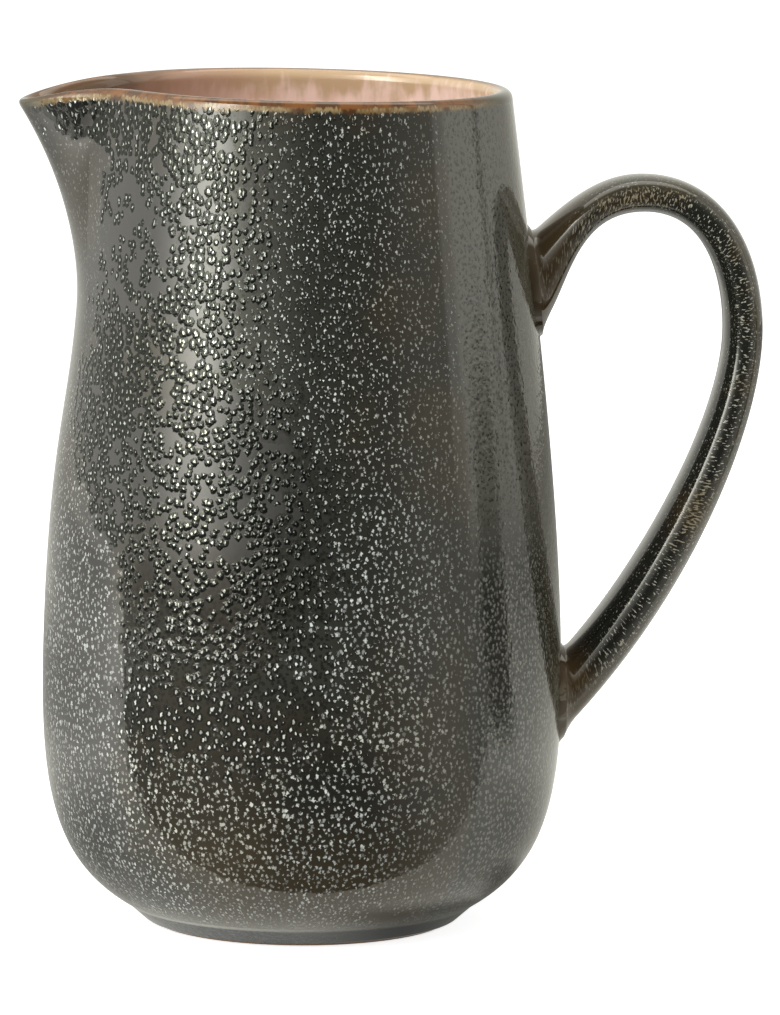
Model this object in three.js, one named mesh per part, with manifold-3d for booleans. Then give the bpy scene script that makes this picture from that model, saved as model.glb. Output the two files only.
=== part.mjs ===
// A stoneware jug: a cast clay body with a pulled spout, a strap handle luted on with slip, and the coats of
// glaze over them. Millimetres, +Z up. The jug stands on Z = 0, its spout points to -X and its handle to +X.
import * as THREE from 'three';
import { mergeVertices } from 'three/addons/utils/BufferGeometryUtils.js';
import Module from 'manifold-3d';

const wasm = await Module();
wasm.setup();

// Body: the outside of the finished wall, on the handle side
const RIM_HEIGHT = 198;
const RIM_RADIUS = 49;
const RIM_LEAN = 7; // degrees that the wall leans inwards below the lip
const RIM_LEAD = 43; // how far that lean is felt down the wall
const BELLY_RADIUS = 61.6;
const BELLY_HEIGHT = 55;
const BELLY_LEAD_UP = 45; // how far the wall stays upright above and below the belly
const BELLY_LEAD_DOWN = 27.5;
const WALL = 4.4;

// Foot
const FOOT_RADIUS = 36.6; // of the bare face that the jug stands on, with its rounded edge
const FOOT_HEIGHT = 4.6;
const FOOT_FLARE = 5.2; // how much wider the foot is in the crease under the belly
const FOOT_CREASE = 1.2; // length of the rounding in that crease
const FOOT_RING_WIDTH = 6;
const FOOT_BEVEL = 0.6;
const UNDERSIDE_ANGLE = 31.5; // degrees above level at which the belly leaves the foot
const UNDERSIDE_LEAD = 16.5;
const BASE_RECESS = 2.6;
const FLOOR_THICKNESS = 5.4;
const FLOOR_FILLET = 5;

// Spout, pulled out of the wall under the rim
const SPOUT_REACH = 19; // how far the beak stands out from the round rim
const SPOUT_DEPTH = 52; // how far below the rim it begins
const SPOUT_SPREAD = 15.5; // degrees from its middle at which it has faded to a third
const THROAT_PINCH = 1.7; // how far the wall is drawn in under the spout
const THROAT_DROP = 59; // depth of that throat below the rim
const THROAT_LENGTH = 25;
const THROAT_SPREAD = 35;
const SPOUT_SIDE_RISE = 1.7; // how much higher the rim is on the spout's side
const BEAK_DROP = 4.1; // how far the tip of the beak is pressed down
const BEAK_SPREAD = 12.5;

// Glaze
const GLAZE = 0.6;
const GLAZE_FIT = 0.1; // clearance between a coat and the clay
const RIM_BAND = 3; // width of the amber band below the lip
const BARE_FOOT = 0.8; // unglazed clay left at the bottom of the foot

// Handle: heights and reaches of the strap's outer edge, then how its inner edge differs
const UPPER_ROOT_DROP = 36; // from the rim down to the top of the upper root
const UPPER_ROOT_TALL = 19.4;
const UPPER_ROOT_ANGLE = 42; // degrees above level at which both edges leave the wall
const LOWER_ROOT_HEIGHT = 45.2;
const LOWER_ROOT_TALL = 17;
const LOWER_ROOT_ANGLE = 46; // degrees at which both edges come down onto the wall
const CREST_RISE = 15; // from the top of the upper root up to the crest
const CREST_REACH = 27; // from the wall at the upper root out to the crest
const HANDLE_REACH = 54.9;
const HANDLE_SHOULDER = 36.4; // from the crest down to the outermost point
const CREST_THICKNESS = 7.5;
const SIDE_THICKNESS = 8;
const STRAP_WIDTH = 18;
const UPPER_ROOT_WIDTH = 24;
const LOWER_ROOT_WIDTH = 22;
const STRAP_SQUARENESS = 2.5; // 2 is an ellipse, more is boxier
const ROOT_FILLET = 3.4;
const ROOT_SINK = 4; // how far the strap's outline is carried on into the wall before it is trimmed

// How far each bend of the strap keeps the direction it starts and ends with
const OUTER_LEADS = { root: 11.8, crestIn: 10.7, crestOut: 19.1, sideIn: 18.6, sideOut: 22.7, foot: 43.4 };
const INNER_LEADS = { root: 8.1, crestIn: 18.6, crestOut: 14.5, sideIn: 14.4, sideOut: 23.5, foot: 21.6 };

// Slip joints
const SLIP_PAD = 1; // slip between the end of the handle and the body
const JOINT_FIT = 0.3; // clearance of pieces that are trimmed to each other

// Facets
const ROUND_STEPS = 36;
const SPOUT_CROWDING = 0.45; // share by which those steps crowd together at the spout
const SHOULDER_STEPS = 9;
const TOP_CROWDING = 0.55; // share by which those steps crowd together below the rim
const UNDERSIDE_STEPS = 5;
const CREASE_STEPS = 2;
const LIP_STEPS = 4;
const FLOOR_STEPS = 3;
const STRAP_SIDES = 14;
const STRAP_STEPS = 30;
const ROOT_CROWDING = 0.9; // share by which the strap's steps crowd together at its roots
const ON_AXIS = 0.001; // radius below which a point counts as on the axis

const radians = THREE.MathUtils.degToRad;
const heading = (degrees) => new THREE.Vector2(Math.cos(radians(degrees)), Math.sin(radians(degrees)));
const point = (x, y) => new THREE.Vector2(x, y);

// A cubic bend that leaves one point and reaches the other along the given headings.
function bend(from, fromHeading, fromLead, to, toHeading, toLead) {
  const leave = from.clone().addScaledVector(heading(fromHeading), fromLead);
  const arrive = to.clone().addScaledVector(heading(toHeading), -toLead);
  return new THREE.CubicBezierCurve(from, leave, arrive, to);
}

// Points of a curve with the direction into the wall, which lies to the left of an upward outside line.
function stations(curve, steps) {
  return steps.map((t) => {
    const along = curve.getTangent(t);
    return { at: curve.getPoint(t), into: point(-along.y, along.x) };
  });
}

// Even shares from 0 to 1, or from a later step.
const even = (count, first = 0) => Array.from({ length: count + 1 - first }, (_, i) => (i + first) / count);

// The finished wall as one line: up the outside, over the lip, down the inside and in to the axis.
const lipRadius = WALL / 2;
const rimHeading = 90 + RIM_LEAN;
const lipStart = point(RIM_RADIUS, RIM_HEIGHT - lipRadius * (1 - Math.sin(radians(RIM_LEAN))));
const bandStart = lipStart.clone().addScaledVector(heading(rimHeading), -RIM_BAND);
const bandFoot = bandStart.clone().addScaledVector(heading(rimHeading), GLAZE_FIT);
const belly = point(BELLY_RADIUS, BELLY_HEIGHT);
const footEdge = point(FOOT_RADIUS, 0);
const crease = point(FOOT_RADIUS + FOOT_FLARE, FOOT_HEIGHT);
const glazeEdge = footEdge.clone().lerp(crease, BARE_FOOT / FOOT_HEIGHT);
const creaseStart = crease.clone().lerp(footEdge, FOOT_CREASE / crease.distanceTo(footEdge));
const creaseEnd = crease.clone().addScaledVector(heading(UNDERSIDE_ANGLE), FOOT_CREASE);

const footSide = new THREE.LineCurve(glazeEdge, creaseStart);
const creaseCurve = new THREE.QuadraticBezierCurve(creaseStart, crease, creaseEnd);
const underside = bend(creaseEnd, UNDERSIDE_ANGLE, UNDERSIDE_LEAD, belly, 90, BELLY_LEAD_DOWN);
const shoulder = bend(belly, 90, BELLY_LEAD_UP, bandStart, rimHeading, RIM_LEAD);
const rimBand = new THREE.LineCurve(bandFoot, lipStart);

const shoulderSteps = even(SHOULDER_STEPS, 1).map((t) => t * (1 + TOP_CROWDING * (1 - t)));
const undersideSteps = even(UNDERSIDE_STEPS, 1);
const outsideLine = [
  ...stations(footSide, [0]),
  ...stations(creaseCurve, even(CREASE_STEPS)),
  ...stations(underside, undersideSteps),
  ...stations(shoulder, shoulderSteps),
];
const outsideBand = stations(rimBand, [0, 1]);

const lipCentre = lipStart.clone().addScaledVector(heading(rimHeading + 90), lipRadius);
const lip = even(LIP_STEPS).slice(1, -1).map((t) => {
  const out = heading(RIM_LEAN + 180 * t);
  return { at: lipCentre.clone().addScaledVector(out, lipRadius), into: out.negate() };
});

// The inside follows the outside at the wall's thickness until it rounds into the floor.
const mirrored = ({ at, into }) => ({ at: at.clone().addScaledVector(into, WALL), into: into.clone().negate() });
const floorHeight = BASE_RECESS + FLOOR_THICKNESS;
const insideBand = outsideBand.map(mirrored).reverse();
const insideWall = [...stations(underside, undersideSteps), ...stations(shoulder, shoulderSteps)]
  .map(mirrored)
  .filter(({ at }) => at.y > floorHeight + FLOOR_FILLET)
  .reverse();
const wallEnd = insideWall[insideWall.length - 1];
const floorTurn = wallEnd.into.clone().rotateAround(point(0, 0), -Math.PI / 2);
const floorCorner = wallEnd.at.clone().addScaledVector(floorTurn, (floorHeight - wallEnd.at.y) / floorTurn.y);
const floorEdge = point(floorCorner.x - floorCorner.distanceTo(wallEnd.at), floorHeight);
const floorCurve = new THREE.QuadraticBezierCurve(wallEnd.at, floorCorner, floorEdge);
const insideLine = [
  ...insideWall,
  ...stations(floorCurve, even(FLOOR_STEPS, 1)),
  { at: point(0, floorHeight), into: point(0, -1) },
];

const atDepth = (line, depth) => line.map(({ at, into }) => at.clone().addScaledVector(into, depth));
const coat = (line) => [...atDepth(line, 0), ...atDepth(line, GLAZE).reverse()];
const closed = (outline) => [...outline, outline[0]];

// Radius of the finished wall at a height, away from the spout.
function wallRadius(height) {
  const line = [...outsideLine, ...outsideBand];
  const upper = line.findIndex(({ at }) => at.y >= height);
  const above = upper < 1 ? line.length - 1 : upper;
  const [low, high] = [line[above - 1].at, line[above].at];
  return THREE.MathUtils.mapLinear(height, low.y, high.y, low.x, high.x);
}

const fade = (angle, spread) => Math.exp(-((angle / radians(spread)) ** 2));

// Pulls the spout out of a round wall: angle is measured from the spout's middle.
function pull(radius, angle, height) {
  const swell = Math.max(0, height - (RIM_HEIGHT - SPOUT_DEPTH)) / SPOUT_DEPTH;
  const throat = Math.exp(-(((height - (RIM_HEIGHT - THROAT_DROP)) / THROAT_LENGTH) ** 2));
  const out = SPOUT_REACH * swell ** 2 * fade(angle, SPOUT_SPREAD);
  const pinch = THROAT_PINCH * throat * fade(angle, THROAT_SPREAD);
  const rise = (SPOUT_SIDE_RISE / 2) * (1 + Math.cos(angle)) - BEAK_DROP * fade(angle, BEAK_SPREAD);
  return { radius: radius + out - pinch, height: height + rise * Math.min(1, swell) };
}

function reshape(geometry, move) {
  const places = geometry.getAttribute('position');
  const place = new THREE.Vector3();
  for (let i = 0; i < places.count; i++) {
    const { x, y, z } = move(place.fromBufferAttribute(places, i));
    places.setXYZ(i, x, y, z);
  }
  return geometry;
}

// A jug-shaped solid from an outline of radius and height; its points on the axis stay there. The facets of
// a coat slant the other way, so that its inner face lies along the clay under it.
function turned(outline, slant = 1) {
  const lathe = new THREE.LatheGeometry(outline, ROUND_STEPS).rotateX(Math.PI / 2);
  if (slant < 0) lathe.getIndex().array.reverse();
  return solid(reshape(lathe, ({ x, y, z }) => {
    const round = Math.atan2(y, -x);
    const angle = round - SPOUT_CROWDING * Math.sin(round);
    const flat = Math.hypot(x, y);
    const { radius, height } = flat > ON_AXIS ? pull(flat, angle, z) : { radius: 0, height: z };
    return { x: -radius * Math.cos(angle), y: slant * radius * Math.sin(angle), z: height };
  }));
}

function solid(geometry) {
  geometry.deleteAttribute('normal');
  geometry.deleteAttribute('uv');
  const merged = mergeVertices(geometry);
  const vertProperties = new Float32Array(merged.getAttribute('position').array);
  const triVerts = new Uint32Array(merged.index.array);
  return new wasm.Manifold(new wasm.Mesh({ numProp: 3, vertProperties, triVerts }));
}

// The jug filled up solid, its skin at a depth under the finished outside, or outside it where negative.
function filledJug(depth) {
  const skin = atDepth([...outsideLine, ...outsideBand], depth);
  return turned([point(0, skin[0].y), ...skin, point(0, skin[skin.length - 1].y)]);
}

// The two edges of the strap, seen from the side: upper root, crest, outermost point, lower root.
const upperRootTop = RIM_HEIGHT - UPPER_ROOT_DROP;
const rootWall = wallRadius(upperRootTop);
const onWall = (height) => point(wallRadius(height), height);
const crest = point(rootWall + CREST_REACH, upperRootTop + CREST_RISE);
const side = point(rootWall + HANDLE_REACH, crest.y - HANDLE_SHOULDER);

function edge(upper, top, outermost, lower, leads) {
  return [
    bend(upper, UPPER_ROOT_ANGLE, leads.root, top, 0, leads.crestIn),
    bend(top, 0, leads.crestOut, outermost, -90, leads.sideIn),
    bend(outermost, -90, leads.sideOut, lower, -180 + LOWER_ROOT_ANGLE, leads.foot),
  ];
}

const outerEdge = edge(onWall(upperRootTop), crest, side, onWall(LOWER_ROOT_HEIGHT), OUTER_LEADS);
const innerEdge = edge(
  onWall(upperRootTop - UPPER_ROOT_TALL),
  point(crest.x, crest.y - CREST_THICKNESS),
  point(side.x - SIDE_THICKNESS, side.y),
  onWall(LOWER_ROOT_HEIGHT + LOWER_ROOT_TALL),
  INNER_LEADS,
);
const strapWidths = [UPPER_ROOT_WIDTH, STRAP_WIDTH, STRAP_WIDTH, LOWER_ROOT_WIDTH];

// A place along an edge, counted in bends; it runs straight on past either end.
function along(bends, place) {
  const i = THREE.MathUtils.clamp(Math.floor(place), 0, bends.length - 1);
  const t = THREE.MathUtils.clamp(place - i, 0, 1);
  const past = place - i - t;
  return bends[i].getPoint(t).addScaledVector(bends[i].getTangent(t), past * ROOT_SINK);
}

// How far the root's fillet stands out at a distance from the wall, on a skin at a depth under the glaze.
function filletSpread(distance, depth) {
  const radius = ROOT_FILLET + depth;
  const short = THREE.MathUtils.clamp(ROOT_FILLET - distance, 0, ROOT_FILLET);
  return radius - Math.sqrt(radius ** 2 - short ** 2);
}

const power = (value) => Math.sign(value) * Math.abs(value) ** (2 / STRAP_SQUARENESS);
const slope = (value, half) => Math.sign(value) * Math.abs(value) ** (STRAP_SQUARENESS - 1) / half;

// Steps of the strap crowd together at the roots; the first and last lie inside the wall.
function strapPlace(share) {
  const step = (share * STRAP_STEPS - 1) / (STRAP_STEPS - 2);
  if (share === 0) return -1;
  if (share === 1) return outerEdge.length + 1;
  return outerEdge.length * (step - ROOT_CROWDING * Math.sin(2 * Math.PI * step) / (2 * Math.PI));
}

function strapWidth(place) {
  const i = THREE.MathUtils.clamp(Math.floor(place), 0, outerEdge.length - 1);
  const blend = THREE.MathUtils.smoothstep(place - i, 0, 1);
  return THREE.MathUtils.lerp(strapWidths[i], strapWidths[i + 1], blend);
}

// The strap at a depth under its finished surface, with or without the fillets at its roots.
function strap(depth, filleted) {
  const bar = new THREE.CylinderGeometry(1, 1, 1, STRAP_SIDES, STRAP_STEPS);
  return solid(reshape(bar, ({ x, y, z }) => {
    const place = strapPlace(0.5 - y);
    const outer = along(outerEdge, place);
    const inner = along(innerEdge, place);
    const across = outer.clone().sub(inner);
    const tall = across.length() / 2;
    const wide = strapWidth(place) / 2;
    across.normalize();
    const [up, out] = [power(x), power(-z)];
    const spot = outer.lerp(inner, 0.5).addScaledVector(across, up * (tall - depth));
    const lateral = out * (wide - depth);
    const distance = Math.hypot(spot.x, lateral) - wallRadius(spot.y);
    const normal = point(slope(up, tall), slope(out, wide)).normalize();
    const spread = filleted ? filletSpread(distance, depth) : 0;
    spot.addScaledVector(across, normal.x * spread);
    return { x: spot.x, y: lateral + normal.y * spread, z: spot.y };
  }));
}

// Depths under the finished wall at which clay, slip and handle begin
const clayDepth = GLAZE + GLAZE_FIT;
const slipDepth = clayDepth - JOINT_FIT;
const padDepth = slipDepth - SLIP_PAD;
const handleDepth = padDepth - JOINT_FIT;

// Body: recess under the foot, foot ring, outside, lip, inside and floor
const ringInside = FOOT_RADIUS - FOOT_RING_WIDTH;
const recessTop = BASE_RECESS + GLAZE + GLAZE_FIT;
const bareFoot = atDepth(stations(footSide, [0]), clayDepth)[0];
const footOutside = bareFoot.x - (bareFoot.y - FOOT_BEVEL) * FOOT_FLARE / FOOT_HEIGHT;
const body = turned([
  point(0, recessTop),
  point(ringInside, recessTop),
  point(ringInside, FOOT_BEVEL),
  point(ringInside + FOOT_BEVEL, 0),
  point(footOutside - FOOT_BEVEL, 0),
  point(footOutside, FOOT_BEVEL),
  ...atDepth([...outsideLine, ...outsideBand, ...lip, ...insideBand, ...insideLine], clayDepth),
]);

// Coats on the body
const window = strap(clayDepth - JOINT_FIT, true);
const outsideGlaze = turned(closed(coat(outsideLine)), -1).subtract(window);
const rimGlaze = turned(closed(coat([...outsideBand, ...lip, ...insideBand])), -1);
const insideGlaze = turned([...atDepth(insideLine, GLAZE).reverse(), ...atDepth(insideLine, 0)], -1);
const baseGlaze = turned([
  point(0, BASE_RECESS),
  point(ringInside - JOINT_FIT, BASE_RECESS),
  point(ringInside - JOINT_FIT, BASE_RECESS + GLAZE),
  point(0, BASE_RECESS + GLAZE),
]);

// Handle, the slip that it is bedded in, and the coat over them
const handle = strap(clayDepth, false).subtract(filledJug(handleDepth));
const handleSeat = strap(clayDepth - JOINT_FIT, false).subtract(filledJug(padDepth));
const slips = strap(clayDepth, true)
  .intersect(filledJug(-ROOT_FILLET))
  .subtract(filledJug(slipDepth))
  .subtract(handleSeat);
const handleMiddle = (upperRootTop + LOWER_ROOT_HEIGHT) / 2;
const [upperSlip, lowerSlip] = slips.splitByPlane([0, 0, 1], handleMiddle);
const handleGlaze = strap(0, true).subtract(strap(GLAZE, true)).subtract(filledJug(-JOINT_FIT));

function piece(name, shape, color, roughness) {
  const { numProp, vertProperties, triVerts } = shape.getMesh();
  const data = new THREE.InterleavedBuffer(vertProperties, numProp);
  const geometry = new THREE.BufferGeometry();
  geometry.setAttribute('position', new THREE.InterleavedBufferAttribute(data, 3, 0));
  geometry.setIndex(new THREE.BufferAttribute(triVerts, 1));
  geometry.computeVertexNormals();
  const mesh = new THREE.Mesh(geometry, new THREE.MeshStandardMaterial({ color, roughness, metalness: 0 }));
  mesh.name = name;
  return mesh;
}

const CLAY = 0xc0a27e;
const SLIP = 0xb3946f;
const DARK_GLAZE = 0x42423b;
const AMBER_GLAZE = 0x9c785a;
const PINK_GLAZE = 0xdbb9a8;
const FIRED_CLAY_ROUGHNESS = 0.9;
const GLAZE_ROUGHNESS = 0.2;

const jug = new THREE.Group();
jug.add(
  piece('stoneware_body', body, CLAY, FIRED_CLAY_ROUGHNESS),
  piece('stoneware_handle', handle, CLAY, FIRED_CLAY_ROUGHNESS),
  piece('upper_handle_slip', upperSlip, SLIP, FIRED_CLAY_ROUGHNESS),
  piece('lower_handle_slip', lowerSlip, SLIP, FIRED_CLAY_ROUGHNESS),
  piece('outside_glaze', outsideGlaze, DARK_GLAZE, GLAZE_ROUGHNESS),
  piece('handle_glaze', handleGlaze, DARK_GLAZE, GLAZE_ROUGHNESS),
  piece('rim_glaze', rimGlaze, AMBER_GLAZE, GLAZE_ROUGHNESS),
  piece('inside_glaze', insideGlaze, PINK_GLAZE, GLAZE_ROUGHNESS),
  piece('base_glaze', baseGlaze, DARK_GLAZE, GLAZE_ROUGHNESS),
);

// The origin lies under the middle of the whole jug, between the tip of the spout and the back of the handle.
const extent = new THREE.Box3().setFromObject(jug);
jug.position.x = -(extent.min.x + extent.max.x) / 2;

export default jug;
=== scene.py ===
import math

import bmesh
import bpy
from mathutils import Matrix, Vector
from mathutils.geometry import interpolate_bezier


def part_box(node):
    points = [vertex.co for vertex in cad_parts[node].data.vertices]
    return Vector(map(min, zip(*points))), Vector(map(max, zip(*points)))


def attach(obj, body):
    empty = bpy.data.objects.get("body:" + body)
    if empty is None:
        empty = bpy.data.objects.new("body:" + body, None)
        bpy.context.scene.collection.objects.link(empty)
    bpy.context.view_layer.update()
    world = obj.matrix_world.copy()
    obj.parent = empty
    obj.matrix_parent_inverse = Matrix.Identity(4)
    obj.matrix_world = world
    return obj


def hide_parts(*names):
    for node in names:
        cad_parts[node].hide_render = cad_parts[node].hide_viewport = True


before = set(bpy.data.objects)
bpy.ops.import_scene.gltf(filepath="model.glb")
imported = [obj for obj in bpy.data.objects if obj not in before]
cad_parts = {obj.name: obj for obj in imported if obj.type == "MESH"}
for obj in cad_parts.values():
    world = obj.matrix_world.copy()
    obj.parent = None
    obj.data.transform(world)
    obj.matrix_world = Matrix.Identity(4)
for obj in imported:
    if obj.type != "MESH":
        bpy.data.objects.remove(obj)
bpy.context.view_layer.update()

# The jug's shapes are in millimetres, as in the part's source, and each finished mesh is scaled to metres.
# Materials, lamps, camera and studio are in metres.
MM = 0.001

# Body: the outside of the finished wall, on the handle side
RIM_HEIGHT = 198
RIM_RADIUS = 49
RIM_LEAN = 7
RIM_LEAD = 43
RIM_BAND = 3
BELLY_RADIUS = 61.6
BELLY_HEIGHT = 55
BELLY_LEAD_UP = 45
BELLY_LEAD_DOWN = 27.5
WALL = 4.4
FOOT_RADIUS = 36.6
FOOT_HEIGHT = 4.6
FOOT_FLARE = 5.2
FOOT_CREASE = 1.2
FOOT_RING_WIDTH = 6
FOOT_BEVEL = 0.6
BARE_FOOT = 0.8
UNDERSIDE_ANGLE = 31.5
UNDERSIDE_LEAD = 16.5
BASE_RECESS = 2.6
FLOOR_THICKNESS = 5.4
FLOOR_FILLET = 5
FILLET_LEAD = 2 / 3

# Spout
SPOUT_REACH = 19
SPOUT_DEPTH = 52
SPOUT_SPREAD = 15.5
THROAT_PINCH = 1.7
THROAT_DROP = 59
THROAT_LENGTH = 25
THROAT_SPREAD = 35
SPOUT_SIDE_RISE = 1.7
BEAK_DROP = 4.1
BEAK_SPREAD = 12.5

# Glaze
GLAZE = 0.6
GLAZE_FIT = 0.1
BASE_COAT_GAP = 0.3

# Handle
UPPER_ROOT_DROP = 36
UPPER_ROOT_TALL = 19.4
UPPER_ROOT_ANGLE = 42
LOWER_ROOT_HEIGHT = 45.2
LOWER_ROOT_TALL = 17
LOWER_ROOT_ANGLE = 46
CREST_RISE = 15
CREST_REACH = 27
HANDLE_REACH = 54.9
HANDLE_SHOULDER = 36.4
CREST_THICKNESS = 7.5
SIDE_THICKNESS = 8
STRAP_WIDTHS = (24, 18, 18, 22)
STRAP_BENDS = len(STRAP_WIDTHS) - 1
STRAP_SQUARENESS = 2.5
ROOT_FILLET = 3.4
ROOT_SINK = 0.4
OUTER_LEADS = (11.8, 10.7, 19.1, 18.6, 22.7, 43.4)
INNER_LEADS = (8.1, 18.6, 14.5, 14.4, 23.5, 21.6)

# Fineness of the meshes
ROUND_STEPS = 200
SPOUT_CROWDING = 0.45
UNDERSIDE_STEPS = 34
SHOULDER_STEPS = 64
CREASE_STEPS = 6
LIP_STEPS = 14
FLOOR_STEPS = 12
FOOT_STEPS = 4
BAND_STEPS = 4
FLOOR_RINGS = 8
BASE_RINGS = 12
STRAP_SIDES = 56
STRAP_STEPS = 190
ROOT_CROWDING = 0.8
SHARP_ANGLE = 40
MERGE_DISTANCE = 0.001

axis_x = sum(corner.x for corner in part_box("base_glaze")) / 2


def heading(degrees):
    return Vector((math.cos(math.radians(degrees)), math.sin(math.radians(degrees))))


def bend(start, start_heading, start_lead, end, end_heading, end_lead):
    """Knots and handles of a curve that leaves and reaches its ends along headings."""
    leave = start + heading(start_heading) * start_lead
    arrive = end - heading(end_heading) * end_lead
    return start, leave, arrive, end


def stations(points):
    """Points of a line, each with the direction into the wall, which lies to the line's left."""
    last = len(points) - 1
    line = []
    for i, at in enumerate(points):
        ahead = (points[min(i + 1, last)] - points[max(i - 1, 0)]).normalized()
        line.append((at, Vector((-ahead.y, ahead.x))))
    return line


def at_depth(line, depth):
    return [at + into * depth for at, into in line]


def coat(line):
    """Closed outline of a coat of glaze under a line."""
    return at_depth(line, 0) + at_depth(line, GLAZE)[::-1]


# The finished wall, seen from the side as radius and height
lip_radius = WALL / 2
rim_heading = 90 + RIM_LEAN
lip_start = Vector((RIM_RADIUS, RIM_HEIGHT - lip_radius * (1 - math.sin(math.radians(RIM_LEAN)))))
band_start = lip_start - heading(rim_heading) * RIM_BAND
belly = Vector((BELLY_RADIUS, BELLY_HEIGHT))
foot_edge = Vector((FOOT_RADIUS, 0))
crease = Vector((FOOT_RADIUS + FOOT_FLARE, FOOT_HEIGHT))
glaze_edge = foot_edge.lerp(crease, BARE_FOOT / FOOT_HEIGHT)
crease_start = crease + (foot_edge - crease).normalized() * FOOT_CREASE
crease_end = crease + heading(UNDERSIDE_ANGLE) * FOOT_CREASE

crease_curve = interpolate_bezier(crease_start, crease, crease, crease_end, CREASE_STEPS)
underside = interpolate_bezier(
    *bend(crease_end, UNDERSIDE_ANGLE, UNDERSIDE_LEAD, belly, 90, BELLY_LEAD_DOWN), UNDERSIDE_STEPS
)
shoulder = interpolate_bezier(
    *bend(belly, 90, BELLY_LEAD_UP, band_start, rim_heading, RIM_LEAD), SHOULDER_STEPS
)
band = [band_start.lerp(lip_start, step / BAND_STEPS) for step in range(BAND_STEPS + 1)]
foot_side = [glaze_edge.lerp(crease_start, step / FOOT_STEPS) for step in range(FOOT_STEPS)]
wall_line = stations(foot_side + crease_curve[:-1] + underside[:-1] + shoulder[:-1] + band)
outside_line = wall_line[: 1 - len(band)]
outside_band = wall_line[-len(band):]

lip_centre = lip_start + heading(rim_heading + 90) * lip_radius
lip = []
for step in range(1, LIP_STEPS):
    out = heading(RIM_LEAN + 180 * step / LIP_STEPS)
    lip.append((lip_centre + out * lip_radius, -out))

floor_height = BASE_RECESS + FLOOR_THICKNESS
inside_band = [(at + into * WALL, -into) for at, into in reversed(outside_band)]
inside_wall = [
    (at + into * WALL, -into)
    for at, into in reversed(outside_line[len(foot_side):])
    if (at + into * WALL).y > floor_height + FLOOR_FILLET
]
wall_end, wall_end_into = inside_wall[-1]
floor_turn = Vector((wall_end_into.y, -wall_end_into.x))
floor_corner = wall_end + floor_turn * ((floor_height - wall_end.y) / floor_turn.y)
floor_edge = Vector((floor_corner.x - (floor_corner - wall_end).length, floor_height))
floor_middle = Vector((0, floor_height))
floor_curve = interpolate_bezier(
    wall_end, wall_end.lerp(floor_corner, FILLET_LEAD),
    floor_edge.lerp(floor_corner, FILLET_LEAD), floor_edge, FLOOR_STEPS,
)
floor_points = [floor_edge.lerp(floor_middle, ring / FLOOR_RINGS) for ring in range(1, FLOOR_RINGS + 1)]
inside_line = [inside_band[-1]] + inside_wall[1:] + stations(floor_curve + floor_points)[1:]


def wall_radius(height):
    """Radius of the finished outside at a height, away from the spout."""
    for (low, _), (high, _) in zip(wall_line, wall_line[1:]):
        if high.y >= height:
            break
    return low.x + (high.x - low.x) * (height - low.y) / (high.y - low.y)


def fade(angle, spread):
    return math.exp(-((angle / math.radians(spread)) ** 2))


def pulled(at):
    """Moves a point of a round jug to where the pulled spout has taken it."""
    turn = math.atan2(at.y, -at.x)
    angle = turn - SPOUT_CROWDING * math.sin(turn)
    swell = max(0, at.z - (RIM_HEIGHT - SPOUT_DEPTH)) / SPOUT_DEPTH
    throat = math.exp(-(((at.z - (RIM_HEIGHT - THROAT_DROP)) / THROAT_LENGTH) ** 2))
    out = SPOUT_REACH * swell ** 2 * fade(angle, SPOUT_SPREAD)
    pinch = THROAT_PINCH * throat * fade(angle, THROAT_SPREAD)
    rise = SPOUT_SIDE_RISE / 2 * (1 + math.cos(angle)) - BEAK_DROP * fade(angle, BEAK_SPREAD)
    radius = math.hypot(at.x, at.y)
    if radius > 0:
        radius += out - pinch
    return Vector((-radius * math.cos(angle), radius * math.sin(angle), at.z + rise * min(1, swell)))


def finished(name, bm, finish, node):
    """Makes a piece of a mesh in millimetres around the jug's axis, and puts it in the frame."""
    for edge in bm.edges:
        edge.smooth = edge.calc_face_angle(0) < math.radians(SHARP_ANGLE)
    for face in bm.faces:
        face.smooth = True
    bmesh.ops.scale(bm, verts=bm.verts, vec=(MM, MM, MM))
    bmesh.ops.translate(bm, verts=bm.verts, vec=(axis_x, 0, 0))
    mesh = bpy.data.meshes.new(name)
    bm.to_mesh(mesh)
    bm.free()
    mesh.materials.append(finish)
    piece = bpy.data.objects.new(name, mesh)
    bpy.context.scene.collection.objects.link(piece)
    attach(piece, "root")
    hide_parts(node)
    return piece


# Every glaze is laid out on the same map: round the jug, and along the wall from the outer edge of the lip,
# down the outside as positive lengths and over the lip down the inside as negative ones.
FLOW_MAP = "glaze_flow"
FLOW_RADIUS = 55


def flow_lengths(line, start):
    """Length along a line from its first point, added to a start."""
    lengths = [start]
    for (low, _), (high, _) in zip(line, line[1:]):
        lengths.append(lengths[-1] + (high - low).length)
    return lengths


def nearest_turn(angle, other):
    """An angle, taken round by whole turns until it is nearest to another."""
    return angle + math.tau * round((other - angle) / math.tau)


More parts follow.
